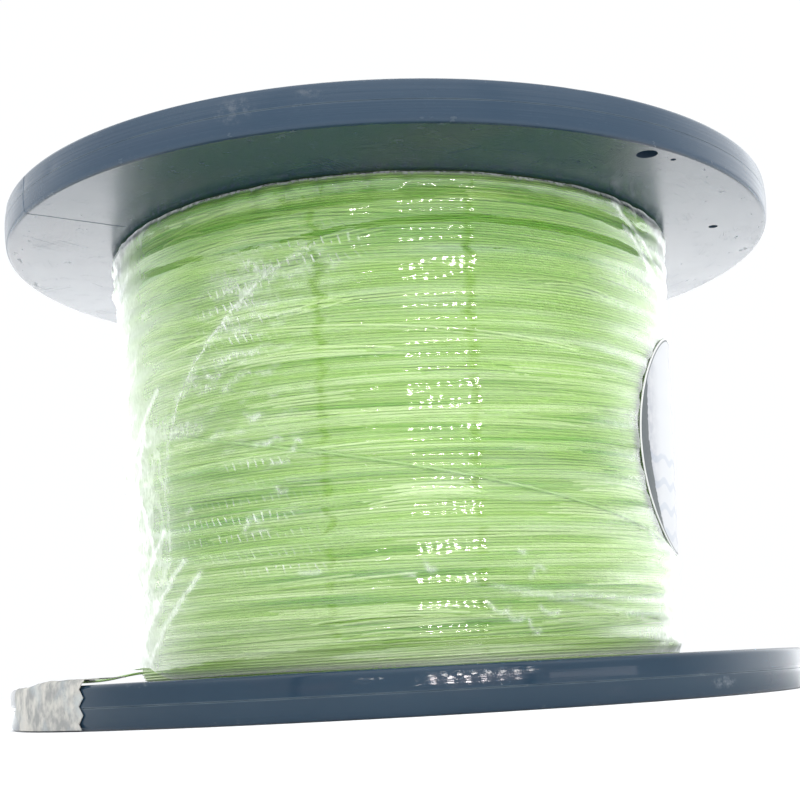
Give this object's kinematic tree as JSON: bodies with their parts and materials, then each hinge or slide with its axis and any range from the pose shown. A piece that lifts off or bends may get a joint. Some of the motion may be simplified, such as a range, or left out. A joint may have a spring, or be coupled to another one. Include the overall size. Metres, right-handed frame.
{
  "type": "fishing line spool",
  "caption": "Bulk spool of monofilament line: double-walled flanges, hollow barrel, centre bore, film-wrapped winding, loose tail taped to the rim.",
  "frame": {"origin": "centre of the spindle bore on the lower flange's outer face, which is also the face that the spool stands on", "axes": "+Z along the spindle bore, from the lower flange to the upper one; -Y towards the side with the line's taped end at its left; +X towards the round label"},
  "size_m": [0.15, 0.15, 0.0964],
  "materials": {
    "flange_plastic": "polished moulded plastic with light scuffs",
    "barrel_plastic": "plain moulded plastic",
    "line_nylon": "translucent extruded nylon",
    "clear_film": "clear stretched film with creases",
    "label_paper": null,
    "tape_paper": "creped paper"
  },
  "bodies": {
    "root": {"lower_inner_disc": "flange_plastic", "lower_outer_cover": "flange_plastic", "upper_inner_disc": "flange_plastic", "upper_outer_cover": "flange_plastic", "winding_barrel": "barrel_plastic", "arbor_tube": "barrel_plastic", "core_anchor_tape": "tape_paper", "line_winding": "line_nylon", "line_tail": "line_nylon", "stretch_film": "clear_film", "round_label": "label_paper", "rim_tape": "tape_paper"}
  },
  "joints": []
}
